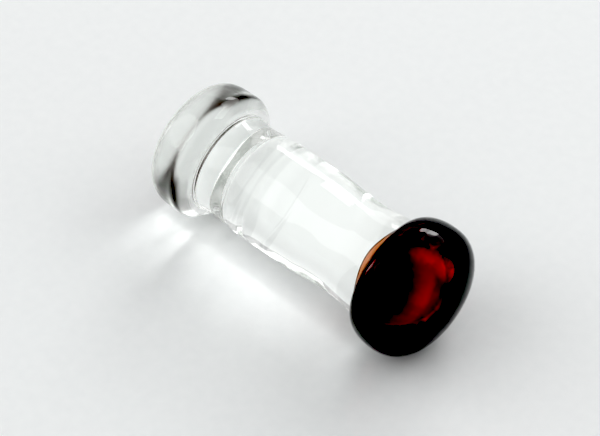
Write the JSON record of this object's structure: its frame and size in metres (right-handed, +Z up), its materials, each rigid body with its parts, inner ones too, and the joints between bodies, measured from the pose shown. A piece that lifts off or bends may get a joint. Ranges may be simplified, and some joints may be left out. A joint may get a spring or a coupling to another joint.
{
  "type": "solid glass ear plug",
  "caption": "Solid clear glass ear plug lying on its side: round back flare, shallow groove, waisted shaft and a dark red glass button fused over the front end.",
  "frame": {"origin": "middle of the object's length, on the surface that it lies on, under its axis", "axes": "+X along the turning axis towards the coloured front, +Z up from the surface that the object lies on, +Y across"},
  "size_m": [0.0198, 0.0082, 0.0082],
  "materials": {
    "clear_glass": "fire-polished clear glass with a faint grey-green tint",
    "coloured_glass": "fire-polished dark red glass, amber where it is thin"
  },
  "bodies": {
    "root": {"clear_shaft": "clear_glass", "colour_front": "coloured_glass"}
  },
  "joints": []
}
